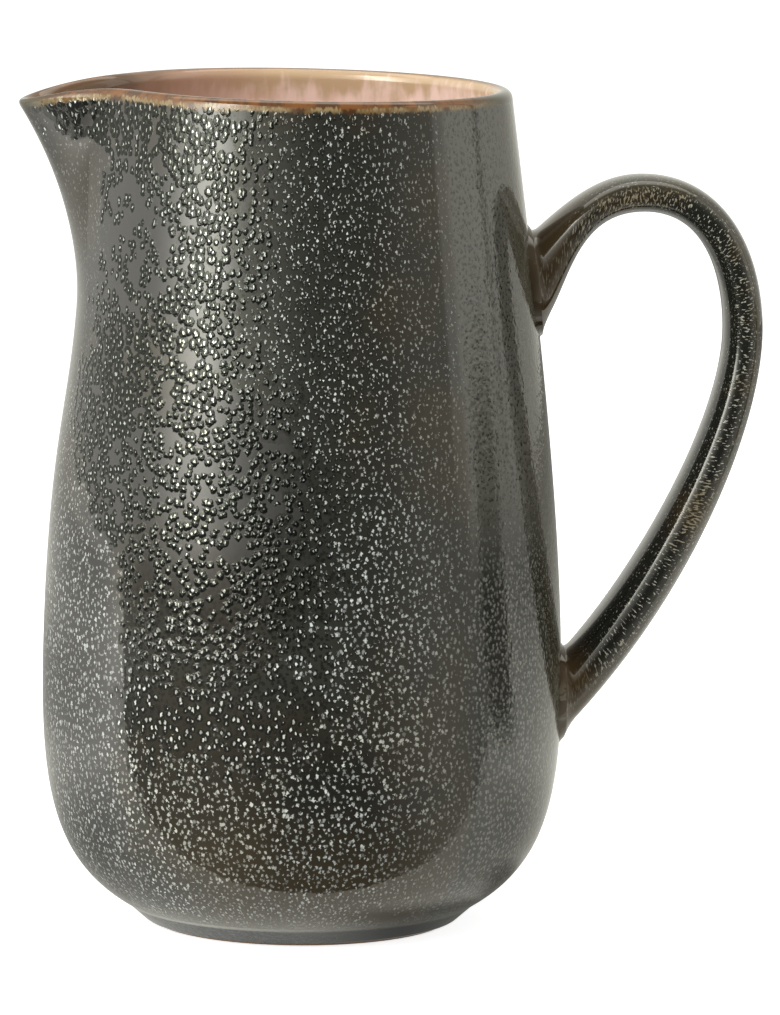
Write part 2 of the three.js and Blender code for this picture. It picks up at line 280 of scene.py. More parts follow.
def turned(outline, lengths):
    """A spun mesh with its spout pulled, and the flow map on it."""
    bm = bmesh.new()
    flow = bm.verts.layers.float.new("flow")
    profile = []
    for at, length in zip(outline, lengths):
        vert = bm.verts.new((at.x, 0, at.y))
        vert[flow] = length
        profile.append(vert)
    edges = [bm.edges.new(ends) for ends in zip(profile, profile[1:] + profile[:1])]
    bmesh.ops.spin(
        bm, geom=profile + edges, axis=(0, 0, 1), cent=(0, 0, 0), angle=math.tau, steps=ROUND_STEPS,
        use_merge=True,
    )
    bmesh.ops.remove_doubles(bm, verts=bm.verts, dist=MERGE_DISTANCE)
    bmesh.ops.recalc_face_normals(bm, faces=bm.faces)
    for vert in bm.verts:
        vert.co = pulled(vert.co)
    uv = bm.loops.layers.uv.new(FLOW_MAP)
    for face in bm.faces:
        middle = face.calc_center_median()
        middle_angle = math.atan2(middle.y, -middle.x)
        for corner in face.loops:
            at = corner.vert.co
            angle = nearest_turn(math.atan2(at.y, -at.x), middle_angle)
            corner[uv].uv = (angle * FLOW_RADIUS * MM, corner.vert[flow] * MM)
    bm.verts.layers.float.remove(flow)
    return bm


def on_wall(height):
    return Vector((wall_radius(height), height))


def strap_edge(upper, top, outermost, lower, leads):
    """One edge of the strap, in three bends: up to the crest, out to the side, down to the lower root."""
    return (
        bend(upper, UPPER_ROOT_ANGLE, leads[0], top, 0, leads[1]),
        bend(top, 0, leads[2], outermost, -90, leads[3]),
        bend(outermost, -90, leads[4], lower, LOWER_ROOT_ANGLE - 180, leads[5]),
    )


def strap_edges():
    """The outer and the inner edge that the strap shows from the side."""
    upper_top = RIM_HEIGHT - UPPER_ROOT_DROP
    root_wall = wall_radius(upper_top)
    crest = Vector((root_wall + CREST_REACH, upper_top + CREST_RISE))
    side = Vector((root_wall + HANDLE_REACH, crest.y - HANDLE_SHOULDER))
    outer = strap_edge(on_wall(upper_top), crest, side, on_wall(LOWER_ROOT_HEIGHT), OUTER_LEADS)
    inner = strap_edge(
        on_wall(upper_top - UPPER_ROOT_TALL),
        crest - Vector((0, CREST_THICKNESS)),
        side - Vector((SIDE_THICKNESS, 0)),
        on_wall(LOWER_ROOT_HEIGHT + LOWER_ROOT_TALL),
        INNER_LEADS,
    )
    return outer, inner


def on_edge(bends, place):
    """Point of an edge at a place, which is 0 at the upper root and grows by 1 with each bend."""
    i = min(int(place), STRAP_BENDS - 1)
    a, b, c, d = bends[i]
    t = place - i
    s = 1 - t
    return a * s ** 3 + b * (3 * s * s * t) + c * (3 * s * t * t) + d * t ** 3


def strap_place(share):
    """Place of a ring, by its share of the rings, which crowd at the roots."""
    return STRAP_BENDS * (share - ROOT_CROWDING * math.sin(math.tau * share) / math.tau)


def strap_half_width(place):
    i = min(int(place), STRAP_BENDS - 1)
    t = place - i
    ease = t * t * (3 - 2 * t)
    return (STRAP_WIDTHS[i] + (STRAP_WIDTHS[i + 1] - STRAP_WIDTHS[i]) * ease) / 2


def squared(value):
    """Takes a coordinate of a round section to the strap's squarer one."""
    return math.copysign(abs(value) ** (2 / STRAP_SQUARENESS), value)


def section_slope(value, half):
    return math.copysign(abs(value) ** (STRAP_SQUARENESS - 1), value) / half


def strap():
    """The handle's coat and its length: a tube along the strap's two edges that flares at the roots."""
    outer_edge, inner_edge = strap_edges()
    bm = bmesh.new()
    bmesh.ops.create_cone(
        bm, cap_ends=False, segments=STRAP_SIDES, radius1=1, radius2=1, depth=1,
        matrix=Matrix.Translation((0, 0, 0.5)),
    )
    lengthwise = [edge for edge in bm.edges if abs(edge.verts[0].co.z - edge.verts[1].co.z) > 0.5]
    bmesh.ops.subdivide_edges(bm, edges=lengthwise, cuts=STRAP_STEPS - 1, use_grid_fill=True)

    middles = []
    for step in range(STRAP_STEPS + 1):
        place = strap_place(step / STRAP_STEPS)
        middles.append((on_edge(outer_edge, place) + on_edge(inner_edge, place)) / 2)
    ring_lengths = flow_lengths(stations(middles), 0)
    uv = bm.loops.layers.uv.new(FLOW_MAP)
    for face in bm.faces:
        middle = face.calc_center_median()
        middle_angle = math.atan2(middle.y, middle.x)
        for corner in face.loops:
            at = corner.vert.co
            angle = nearest_turn(math.atan2(at.y, at.x), middle_angle)
            corner[uv].uv = (angle / math.tau, ring_lengths[round(at.z * STRAP_STEPS)] * MM)

    for vert in bm.verts:
        share = vert.co.z
        place = strap_place(share)
        outer = on_edge(outer_edge, place)
        inner = on_edge(inner_edge, place)
        across = (outer - inner).normalized()
        tall = (outer - inner).length / 2
        wide = strap_half_width(place)
        up = squared(vert.co.x)
        aside = squared(vert.co.y)
        spot = (outer + inner) / 2 + across * (up * tall)
        lateral = aside * wide
        distance = math.hypot(spot.x, lateral) - wall_radius(spot.y)
        normal = Vector((section_slope(up, tall), section_slope(aside, wide))).normalized()
        short = min(max(ROOT_FILLET - distance, 0), ROOT_FILLET)
        flare = ROOT_FILLET - math.sqrt(ROOT_FILLET ** 2 - short ** 2)
        spot += across * (normal.x * flare)
        lateral += normal.y * flare
        if share in (0, 1):
            spot.x = math.sqrt((wall_radius(spot.y) - ROOT_SINK) ** 2 - lateral ** 2)
        vert.co = (spot.x, lateral, spot.y)
    bmesh.ops.recalc_face_normals(bm, faces=bm.faces)
    bmesh.ops.solidify(bm, geom=bm.faces, thickness=GLAZE)
    return bm, ring_lengths[-1] * MM


class Wire:
    """An output of a node. Arithmetic on it adds Math nodes to its tree."""

    def __init__(self, graph, socket):
        self.graph = graph
        self.socket = socket

    def also(self, name):
        """Another output of the same node."""
        return Wire(self.graph, self.socket.node.outputs[name])

    def math(self, operation, *others):
        return self.graph.node("ShaderNodeMath", {"operation": operation}, dict(enumerate((self, *others))))

    def __add__(self, other):
        return self.math("ADD", other)

    def __mul__(self, other):
        return self.math("MULTIPLY", other)

    def __sub__(self, other):
        return self.math("SUBTRACT", other)

    def __truediv__(self, other):
        return self.math("DIVIDE", other)

    def __pow__(self, other):
        return self.math("POWER", other)

    def __lt__(self, other):
        return self.math("LESS_THAN", other)

    def __gt__(self, other):
        return self.math("GREATER_THAN", other)

    def __abs__(self):
        return self.math("ABSOLUTE")

    def __rsub__(self, other):
        return self * -1 + other

    __radd__ = __add__
    __rmul__ = __mul__

    def smooth(self, low, high):
        """0 where the value is at low and 1 where it is at high, eased between them."""
        return self.graph.node(
            "ShaderNodeMapRange", {"interpolation_type": "SMOOTHSTEP"},
            {"Value": self, "From Min": low, "From Max": high},
        )


class Graph:
    """A node tree, made node by node."""

    def __init__(self, tree):
        self.tree = tree

    def node(self, kind, settings=None, sockets=None):
        """Adds a node, with its settings, then the values or wires of its sockets."""
        node = self.tree.nodes.new(kind)
        for key, value in (settings or {}).items():
            if key == "stops":
                steps = node.color_ramp.elements
                while len(steps) < len(value):
                    steps.new(1)
                for step, (position, level) in zip(steps, value):
                    step.position = position
                    step.color = (level, level, level, 1)
            else:
                setattr(node, key, value)
        self.feed(node, sockets or {})
        return Wire(self, next(socket for socket in node.outputs if socket.enabled))

    def feed(self, node, sockets):
        for key, value in sockets.items():
            named = [socket for socket in node.inputs if socket.identifier == key]
            socket = named[0] if named else node.inputs[key]
            if isinstance(value, Wire):
                self.tree.links.new(value.socket, socket)
            elif isinstance(value, tuple) and len(value) < len(socket.default_value):
                socket.default_value = (*value, 1)
            else:
                socket.default_value = value

    def blend(self, factor, low, high):
        """Colour between two colours."""
        return self.node(
            "ShaderNodeMix", {"data_type": "RGBA"}, {"Factor_Float": factor, "A_Color": low, "B_Color": high}
        )

    def noise(self, vector, scale, detail=2, dimensions="3D"):
        return self.node(
            "ShaderNodeTexNoise", {"noise_dimensions": dimensions},
            {"Vector": vector, "Scale": scale, "Detail": detail},
        )

    def vector(self, x, y, z=0):
        return self.node("ShaderNodeCombineXYZ", {}, {"X": x, "Y": y, "Z": z})

    def bumped(self, height):
        return self.node("ShaderNodeBump", {}, {"Height": height, "Distance": 1, "Strength": 1})


class Finish(Graph):
    """A material, made round its Principled shader."""

    def __init__(self, name):
        self.material = bpy.data.materials.new(name)
        self.material.use_nodes = True
        super().__init__(self.material.node_tree)
        self.place = self.node("ShaderNodeTexCoord").also("Object")

    def shade(self, **sockets):
        """Feeds the shader; a name's underscores stand for spaces."""
        named = {key.replace("_", " "): value for key, value in sockets.items()}
        self.feed(self.tree.nodes["Principled BSDF"], named)
        return self.material


class Glaze(Finish):
    """A finish that is laid out on the flow map."""

    def __init__(self, name):
        super().__init__(name)
        flow = self.node("ShaderNodeUVMap", {"uv_map": FLOW_MAP})
        self.around = self.node("ShaderNodeSeparateXYZ", {}, {0: flow})
        self.drop = self.around.also("Y")


# Dark glaze: dark blisters on a smooth ground near the spout, and pale specks under a smooth gloss elsewhere,
# partly real crystals and partly painted highlights.
# The frequencies of noises are per metre.
GLAZE_IOR = 1.55
GLAZE_ROUGHNESS = 0.06
FLAT_ROUGHNESS = 0.14
CELL_SCATTER = 0.95
CELL_WOBBLES = 2.4
BLISTER_SPACING = 1.65 * MM
BLISTER_STRETCH = 0.9
BLISTER_WANDER = 0.8 * MM
BLISTER_HEIGHT = 0.14 * MM
GLINT_SIZE = (0.19 * MM, 0.32 * MM)
SPECK_SPACING = 1.12 * MM
SPECK_STRETCH = 0.85
SPECK_WANDER = 1.0 * MM
SPECK_SIZE = (0.27 * MM, 0.35 * MM)
PEEL_HEIGHT = 0.065 * MM
PEEL_FREQUENCY = 750
MOTTLE_FREQUENCY = 28
GAP_FREQUENCY = 130
GRAIN_FREQUENCY = 1300
CLUMP_SIZE = 4.5 * MM
RUN_LENGTH = 14 * MM
RUN_STRETCH = 0.3

# Zones of the dark glaze, in metres: aside goes round the jug from the spout, and drop goes down from the lip.
# A pair is where a zone begins to show and where it shows fully; the two ovals have a middle and half sizes.
CRAWL_ASIDE = 0.022
CRAWL_WANDER = 0.020
CRAWL_SOFTNESS = 0.002
CRAWL_END_DROP = (0.196, 0.190)
HANDLE_SIDE_ASIDE = (0.121, 0.124)
HANDLE_ROOT_ASIDE = (0.138, 0.158)
BARE_PATCH = (0.030, 0.033, 0.026, 0.021)
BARE_TRAIL = (0.060, 0.092, 0.030, 0.040)
BLISTER_ASIDE = 0.074
BLISTER_ASIDE_WANDER = 0.040
BLISTER_ASIDE_GAIN = 0.015
BLISTER_GAIN_DROP = (0.055, 0.085)
BLISTER_END_DROP = (0.156, 0.146)
FLAT_END_DROP = (0.125, 0.095)
GLEAM_START_ASIDE = (0.006, 0.018)
GLEAM_END_ASIDE = (0.105, 0.082)
GLEAM_END_DROP = (0.132, 0.105)
LOW_DROP = (0.155, 0.182)
LOW_START_ASIDE = (0.045, 0.065)
LOW_END_ASIDE = (0.128, 0.105)
DUSK_DROP = (0.120, 0.150)
DUSK_ASIDE = (0.085, 0.105)
PEEL_DROP = (0.120, 0.165)
# Span of the painted highlight along the foot's crease
FOOT_CREASE_HIGHLIGHT_SPAN = (1.1 * MM, 0.3 * MM)
FOOT_COLOR_SPAN = 0.8 * MM
FOOT_SPECK_SPAN = 3 * MM

# Colours of the dark glaze
GROUND_COLOR = (0.032, 0.031, 0.028)
NIGHT_COLOR = (0.0325, 0.0335, 0.0265)
DEEP_COLOR = (0.0120, 0.0125, 0.0098)
DUSK_COLOR = (0.0155, 0.0152, 0.0116)
BROWN_COLOR = (0.046, 0.034, 0.018)
OLIVE_COLOR = (0.058, 0.051, 0.029)
BLUE_FOOT_COLOR = (0.020, 0.023, 0.031)
FOOT_GRAIN_COLOR = (0.085, 0.092, 0.108)
# Painted highlight along the foot's crease
FOOT_CREASE_HIGHLIGHT_COLOR = (0.33, 0.33, 0.29)
BLISTER_COLOR = (0.021, 0.022, 0.019)
# Blister colour darkened as painted shade where the key softbox is reflected
BLISTER_PAINTED_SHADE_COLOR = (0.019, 0.021, 0.018)
TEAL_BLISTER_COLOR = (0.018, 0.024, 0.023)
# Crystals, and painted highlights on blisters, share these colours
CRYSTAL_AND_GLINT_COLOR = (0.74, 0.78, 0.73)
OLIVE_CRYSTAL_AND_GLINT_COLOR = (0.66, 0.64, 0.52)
VEIL_COLOR = (0.076, 0.073, 0.058)
DASH_COLOR = (0.52, 0.51, 0.41)
GOLD_COLOR = (0.25, 0.22, 0.14)
STRAP_OLIVE_COLOR = (0.034, 0.030, 0.018)
HANDLE_BROWN_COLOR = (0.060, 0.036, 0.014)


class Speckle:
    """Cells that are scattered over a glaze, each with a place and three chances of its own."""

    def __init__(self, finish, around, along, spacing, wander):
        wobble = finish.noise(finish.place, CELL_WOBBLES / spacing, 1).also("Color")
        spot = finish.node(
            "ShaderNodeVectorMath", {"operation": "MULTIPLY_ADD"},
            {0: wobble, 1: (wander, wander, 0), 2: finish.vector(around, along)},
        )
        cells = finish.node(
            "ShaderNodeTexVoronoi", {"voronoi_dimensions": "2D"},
            {"Vector": spot, "Scale": 1 / spacing, "Randomness": CELL_SCATTER},
        )
        chances = finish.node("ShaderNodeSeparateColor", {}, {"Color": cells.also("Color")})
        self.distance = cells
        self.centre = cells.also("Position")
        self.presence = chances
        self.size = chances.also("Green")
        self.brightness = chances.also("Blue")
        offset = finish.node("ShaderNodeVectorMath", {"operation": "SUBTRACT"}, {0: spot, 1: self.centre})
        self.offset = finish.node("ShaderNodeSeparateXYZ", {}, {0: offset})

    def crystals_and_glints(self, width, height, size=1):
        """Pale spots, a little above the middle of their cells, for real crystals and for painted highlights
        on blisters.
        """
        across = self.offset / width
        along = (self.offset.also("Y") + height / 4) / height
        reach = (across ** 2 + along ** 2) ** 0.5
        return (reach / ((self.size * 0.8 + 0.45) * size)).smooth(1.2, 0.6)


def oval(aside, drop, spot):
    """Below 1 inside an oval, 1 on its edge and above 1 outside it."""
    middle_aside, middle_drop, half_width, half_height = spot
    return ((aside - middle_aside) / half_width) ** 2 + ((drop - middle_drop) / half_height) ** 2


class DarkGlaze(Glaze):
    """The dark glaze of the wall: its zones, then the layers that lie in them."""

    def __init__(self, name):
        super().__init__(name)
        self.aside = abs(self.around)
        squeeze = 1 - (self.drop / -RUN_LENGTH).math("EXPONENT")
        run = self.drop - squeeze * (RUN_STRETCH * RUN_LENGTH)
        self.blisters = Speckle(self, self.around, run * BLISTER_STRETCH, BLISTER_SPACING, BLISTER_WANDER)
        self.specks = Speckle(self, self.around, run * SPECK_STRETCH, SPECK_SPACING, SPECK_WANDER)
        middle = self.node("ShaderNodeSeparateXYZ", {}, {0: self.blisters.centre})
        self.cell_aside = abs(middle)
        self.cell_drop = middle.also("Y") / BLISTER_STRETCH + RUN_STRETCH * RUN_LENGTH
        self.clump = self.noise(self.blisters.centre, 1 / CLUMP_SIZE, 2, "2D")
        self.mottle = self.noise(self.place, MOTTLE_FREQUENCY)
        self.grain = self.noise(self.place, GRAIN_FREQUENCY)
        self.low = self.drop.smooth(*LOW_DROP) * self.aside.smooth(*LOW_START_ASIDE)
        self.low = self.low * self.aside.smooth(*LOW_END_ASIDE)
        self.warm = self.aside.smooth(0.036, 0.044) * 0.6 + self.drop.smooth(0.105, 0.080) * 0.4
        # Gleam: where the key softbox is reflected; as painted shade, blisters there are darker, their
        # metallic darkening stronger and their glints dimmer
        self.gleam = self.aside.smooth(*GLEAM_START_ASIDE) * self.aside.smooth(*GLEAM_END_ASIDE)
        self.gleam = self.gleam * self.drop.smooth(*GLEAM_END_DROP)
        self.crawl()
        self.raise_blisters()
        self.color()

    def crawl(self):
        """The spout side and the handle side are smooth; between them the glaze has crawled."""
        drop = self.drop
        edge = drop.smooth(0.082, 0.112) * 0.020 - abs(drop - 0.070).smooth(0.016, 0.004) * 0.008
        edge = edge + CRAWL_ASIDE + (self.clump - 0.5) * CRAWL_WANDER
        self.crawl_edge = edge - drop.smooth(0.011, 0.006) * 0.018
        self.handle_side = self.aside.smooth(*HANDLE_SIDE_ASIDE)
        crawled = (self.aside - self.crawl_edge).smooth(-CRAWL_SOFTNESS, CRAWL_SOFTNESS)
        self.crawled = crawled * (1 - self.handle_side) * drop.smooth(*CRAWL_END_DROP)

    def raise_blisters(self):
        """Blisters near the spout, with bare flat ground among them."""
        aside = self.cell_aside
        drop = self.cell_drop
        patch = oval(aside, drop, BARE_PATCH)
        trail = oval(aside, drop, BARE_TRAIL)
        bare = self.clump + (1 - patch).math("MAXIMUM", 0) * 0.20 + (1 - trail).math("MAXIMUM", 0) * 0.07
        open_ground = bare.smooth(0.62, 0.68)
        wander = (self.clump - 0.5) * BLISTER_ASIDE_WANDER
        edge = drop.smooth(*BLISTER_GAIN_DROP) * BLISTER_ASIDE_GAIN + BLISTER_ASIDE + wander
        inward = edge - aside
        self.blistered = inward.smooth(-0.003, 0.003) * (drop - wander).smooth(*BLISTER_END_DROP)
        present = (self.blisters.presence > open_ground * 0.85) * (self.blistered > 0.5)
        present = present * (aside > self.crawl_edge)
        crowding = drop.smooth(0.085, 0.060) * patch.smooth(0.5, 1.2) * 0.14
        crowding = crowding - drop.smooth(0.110, 0.150) * 0.12
        size = self.blisters.size * 0.14 + 0.52 - open_ground * 0.08 + crowding
        size = size * (inward.smooth(-0.004, 0.020) * 0.5 + 0.5)
        reach = self.blisters.distance / size
        self.dome = (1 - reach * reach).math("MAXIMUM", 0) * present
        self.disc = self.dome.smooth(0.02, 0.22)
        # Painted highlight: a glint on each blister, where the key softbox would shine on its dome
        self.glint = self.blisters.crystals_and_glints(*GLINT_SIZE, drop.smooth(0.100, 0.140) * 0.3 + 1) * self.disc
        self.flats = self.blistered * drop.smooth(*FLAT_END_DROP) * inward.smooth(0.002, 0.018) * self.crawled
        peeled = self.handle_side.math("MAXIMUM", self.drop.smooth(*PEEL_DROP))
        peel = self.noise(self.place, PEEL_FREQUENCY, 1) * peeled * PEEL_HEIGHT
        self.height = self.dome * drop.smooth(0.150, 0.110) * BLISTER_HEIGHT + peel
        self.roughness = (1 - self.disc) * self.flats * FLAT_ROUGHNESS + GLAZE_ROUGHNESS

    def ground(self):
        """Colour of the glaze from the lip to the foot, with a painted highlight along the foot's crease and
        painted shade on the foot's grain towards the handle.
        """
        aside = self.aside
        drop = self.drop
        fine = self.specks.distance
        rough = self.grain - 0.5
        brown = self.mottle.smooth(0.45, 0.68) * self.warm * (1 - self.crawled * 0.5) + self.low * 0.7
        spots = (fine + rough * 0.5).smooth(0.15, 0.45)
        veil = spots + drop.smooth(0.085, 0.115) * (1 - spots * 2)
        dusk = drop.smooth(*DUSK_DROP).math("MAXIMUM", aside.smooth(*DUSK_ASIDE))
        between = self.blend(dusk, NIGHT_COLOR, DUSK_COLOR)
        rings = self.blend((fine + rough * 0.3).smooth(0.22, 0.48), DEEP_COLOR, between)
        ground = self.blend(self.crawled - self.flats, GROUND_COLOR, rings)
        ground = self.blend(brown.math("MINIMUM", 1), ground, BROWN_COLOR)
        ground = self.blend(aside.smooth(0.095, 0.115) * 0.15, ground, OLIVE_COLOR)
        ground = self.blend(self.handle_side, ground, self.blend(veil, DEEP_COLOR, VEIL_COLOR))
        ground = self.blend(aside.smooth(*HANDLE_ROOT_ASIDE) * 0.6, ground, OLIVE_COLOR)
        # Painted shade: the foot's pale grain fades out towards the handle side, where the foot is in shadow
        foot_grain = self.grain.smooth(0.42, 0.70) * aside.smooth(0.115, 0.060)
        foot = self.blend(foot_grain, BLUE_FOOT_COLOR, FOOT_GRAIN_COLOR)
        ground = self.blend(drop.smooth(crease_drop, crease_drop + FOOT_COLOR_SPAN), ground, foot)
        # Painted highlight: a pale line along the foot's crease, strongest on the spout side
        crease = abs(drop - crease_drop).smooth(*FOOT_CREASE_HIGHLIGHT_SPAN) * (aside.smooth(0.11, 0.05) * 0.9 + 0.1)
        return self.blend(crease, ground, FOOT_CREASE_HIGHLIGHT_COLOR)

    def pale_specks(self):
        """Pale specks under the gloss, none between the blisters: real crystals, brightened as painted
        highlights that dim towards the handle, away from the key softbox.
        """
        aside = self.aside
        drop = self.drop
        gaps = self.noise(self.place, GAP_FREQUENCY).smooth(0.36, 0.48)
        gaps = gaps + (1 - gaps) * drop.smooth(0.192, 0.180)
        # Painted highlight: the specks dim towards the handle, as the key softbox's highlights would
        dimming = (aside.smooth(0.128, 0.088) * 0.80 + 0.20) * (1 - self.low * 0.4)
        spout_side = (1 - self.crawled) * drop.smooth(0.075, 0.055) * aside.smooth(0.05, 0.04)
        glow = (self.specks.brightness * 0.72 + 0.20) * dimming * (1 - spout_side * 0.7)
        glow = glow * (self.crawled * 0.3 + 0.7) * gaps * (1 - self.blistered * self.crawled)
        glow = glow * drop.smooth(crease_drop, crease_drop - FOOT_SPECK_SPAN)
        return self.specks.crystals_and_glints(*SPECK_SIZE, drop.smooth(0.050, 0.130) * 0.3 + 0.75) * glow

    def color(self):
        """Colour of all layers, with painted glints on the blisters and painted shade on the blisters where
        the key softbox is reflected, and the metallic darkening of blisters and crawled ground.
        """
        sparkle = (self.blisters.brightness * 0.5 + 0.5) * self.glint * (1 - self.gleam * 0.22)
        pale = sparkle.math("MAXIMUM", self.pale_specks())
        # The colour of the crystals and of the painted glints
        pale_spot = self.blend(self.mottle.smooth(0.42, 0.6) * self.warm, CRYSTAL_AND_GLINT_COLOR, OLIVE_CRYSTAL_AND_GLINT_COLOR)
        blister = self.blend(self.mottle.smooth(0.48, 0.38), BLISTER_COLOR, TEAL_BLISTER_COLOR)
        # Painted shade: darker blisters where the key softbox is reflected
        blister = self.blend(self.gleam, blister, BLISTER_PAINTED_SHADE_COLOR)
        blister = self.blend(self.cell_drop.smooth(0.095, 0.125), blister, DEEP_COLOR)
        self.base_color = self.blend(pale, self.blend(self.disc, self.ground(), blister), pale_spot)
        dark = self.disc.math("MAXIMUM", (self.crawled - self.flats) * self.gleam * 0.6)
        self.metallic = dark * (1 - pale) * (self.gleam * 0.6 + 0.2)


def dark_glaze():
    finish = DarkGlaze("dark_glaze")
    return finish.shade(
        Base_Color=finish.base_color, Roughness=finish.roughness, Metallic=finish.metallic,
        Normal=finish.bumped(finish.height), IOR=GLAZE_IOR,
    )


# Handle: the flow map goes round the strap as shares of its girth, with the outer edge at 0
STRAP_GIRTH = 0.05
STRAP_SPECK_SIZE = (0.20 * MM, 0.26 * MM)
STRAP_SPECK_WANDER = 0.7 * MM
STRAP_PATCH_FREQUENCY = 60
STRAP_ROUGHNESS = 0.04
NARROW_SIDE = 0.25
UPPER_ROOT_SPAN = (0.006, 0.022)
LOWER_ROOT_SPAN = (0.004, 0.016)
DASH_GIRTH = 0.015
DASH_FREQUENCY = 2300
DASH_ROUGHNESS = 0.06
DASH_HEIGHT = 0.02 * MM


def handle_glaze(length):
    """The dark glaze on the strap, which breaks to pale dashes over the strap's two narrow sides."""
    finish = Glaze("handle_glaze")
    girth = abs(finish.around)
    side = abs(girth - NARROW_SIDE)
    specks = Speckle(finish, finish.around * STRAP_GIRTH, finish.drop, SPECK_SPACING, STRAP_SPECK_WANDER)
    dashes = finish.noise(finish.vector(finish.around * DASH_GIRTH, finish.drop), DASH_FREQUENCY, 2, "2D")
    patches = finish.noise(finish.place, STRAP_PATCH_FREQUENCY)
    to_lower_root = length - finish.drop
    away = finish.drop.smooth(*UPPER_ROOT_SPAN) * to_lower_root.smooth(*LOWER_ROOT_SPAN)
    broken = side.smooth(0.085, 0.040) * (dashes + (patches - 0.5) * 0.4).smooth(0.58, 0.67)
    dark = finish.blend(girth.smooth(0.24, 0.16), DEEP_COLOR, STRAP_OLIVE_COLOR)
    ground = finish.blend(patches.smooth(0.45, 0.7) * 0.4 + (1 - away) * 0.6, dark, HANDLE_BROWN_COLOR)
    pale_spot = specks.crystals_and_glints(*STRAP_SPECK_SIZE) * (specks.presence > 0.3)
    glow = (specks.brightness * 0.4 + 0.05) * side.smooth(0.03, 0.08) * away
    color = finish.blend(pale_spot * glow, ground, OLIVE_CRYSTAL_AND_GLINT_COLOR)
    pale = finish.blend(patches.smooth(0.4, 0.6), DASH_COLOR, GOLD_COLOR)
    color = finish.blend(broken * (away * 0.65 + 0.2), color, pale)
    return finish.shade(
        Base_Color=color, Roughness=broken * DASH_ROUGHNESS + STRAP_ROUGHNESS,
        Normal=finish.bumped(broken * away * DASH_HEIGHT), IOR=GLAZE_IOR,
    )


# Rim and inside: the drop is negative from the lip's outer edge inwards
LIP_COLOR = (0.185, 0.072, 0.019)
UMBER_COLOR = (0.060, 0.027, 0.011)
OCHRE_COLOR = (0.17, 0.10, 0.034)
CREAM_COLOR = (0.27, 0.195, 0.095)
TAN_COLOR = (0.55, 0.39, 0.235)
PINK_COLOR = (0.88, 0.66, 0.56)
BLUSH_COLOR = (0.81, 0.56, 0.46)
# Browns painted inside the spout as the shade that falls there
ROSE_PAINTED_SHADE_COLOR = (0.40, 0.225, 0.15)
SPOUT_PAINTED_SHADE_COLOR = (0.095, 0.052, 0.024)

# Zones and grain of the rim and the inside
LIP_ROUGHNESS = 0.08
LIP_OUTSIDE_DROP = (-0.0009, -0.0003)
LIP_INSIDE_DROP = (-0.0034, -0.0050)
AMBER_END_DROP = (0.0000, 0.0009)
DULL_DROP = (-0.0042, -0.0026)
DULL_HANDLE_ASIDE = (0.126, 0.152)
DULL_SPOUT_ASIDE = (0.012, 0.004)
DRIP_DROP = (-0.0125, -0.0065)
SPOUT_SHADE_DROP = (-0.055, -0.020)
LINING_IOR = 1.5
LINING_ROUGHNESS = 0.12
LINING_RIPPLE = 0.05 * MM
RIPPLE_FREQUENCY = 160
BLOTCH_FREQUENCY = 110
DRIP_FREQUENCY = 300
LIP_STREAK_FREQUENCY = 1100
LIP_PATCH_FREQUENCY = 140


def lining_color(finish):
    """Tan drips under the lip, then pink, with browns painted inside the spout as shade."""
    streaks = finish.noise(finish.vector(finish.around, finish.drop * 0.3), DRIP_FREQUENCY, 4, "2D")
    blotches = finish.noise(finish.place, BLOTCH_FREQUENCY, 4)
    edge = finish.drop + (streaks - 0.5) * 0.009 + (blotches - 0.5) * 0.012
    pink = finish.blend(blotches.smooth(0.45, 0.75), PINK_COLOR, BLUSH_COLOR)
    lining = finish.blend(edge.smooth(*DRIP_DROP), pink, TAN_COLOR)
    aside = abs(finish.around) + (blotches - 0.5) * 0.02
    # Painted shade: browns inside the spout, in its upper part
    upper = finish.drop.smooth(*SPOUT_SHADE_DROP)
    lining = finish.blend(aside.smooth(0.085, 0.050) * upper * 0.8, lining, ROSE_PAINTED_SHADE_COLOR)
    return finish.blend(aside.smooth(0.055, 0.022) * upper * 0.9, lining, SPOUT_PAINTED_SHADE_COLOR)


def rim_glaze():
    """Amber over the lip, which breaks into ochre and runs into the dark glaze."""
    finish = DarkGlaze("amber_glaze")
    streaks = finish.noise(finish.vector(finish.around, finish.drop * 0.4), LIP_STREAK_FREQUENCY, 3, "2D")
    patches = finish.noise(finish.vector(finish.around, finish.drop * 0.3), LIP_PATCH_FREQUENCY, 2, "2D")
    edge = finish.drop + (streaks - 0.5) * 0.0020 + (patches - 0.5) * 0.0012
    lip = finish.blend((streaks * 0.25 + patches * 0.75).smooth(0.42, 0.60) * 0.8, LIP_COLOR, UMBER_COLOR)
    lip = finish.blend(finish.drop.smooth(*LIP_INSIDE_DROP), lip, lining_color(finish))
    ochre = finish.blend((streaks + patches - 0.5).smooth(0.40, 0.65), OCHRE_COLOR, CREAM_COLOR)
    ochre = finish.blend(patches.smooth(0.34, 0.48), UMBER_COLOR, ochre)
    amber = finish.blend(edge.smooth(*LIP_OUTSIDE_DROP), lip, ochre)
    dull = finish.aside.smooth(*DULL_HANDLE_ASIDE) + finish.aside.smooth(*DULL_SPOUT_ASIDE)
    amber = finish.blend(dull * finish.drop.smooth(*DULL_DROP), amber, OLIVE_COLOR)
    run = edge.smooth(*AMBER_END_DROP)
    return finish.shade(
        Base_Color=finish.blend(run, amber, finish.base_color),
        Roughness=finish.roughness * run + LIP_ROUGHNESS * (1 - run),
        Metallic=finish.metallic * run,
        Normal=finish.bumped(finish.height * run),
        IOR=GLAZE_IOR,
    )


def inside_glaze():
    finish = Glaze("pink_glaze")
    ripple = finish.noise(finish.place, RIPPLE_FREQUENCY) * LINING_RIPPLE
    return finish.shade(
        Base_Color=lining_color(finish), Roughness=LINING_ROUGHNESS,
        Normal=finish.bumped(ripple), IOR=LINING_IOR,
    )


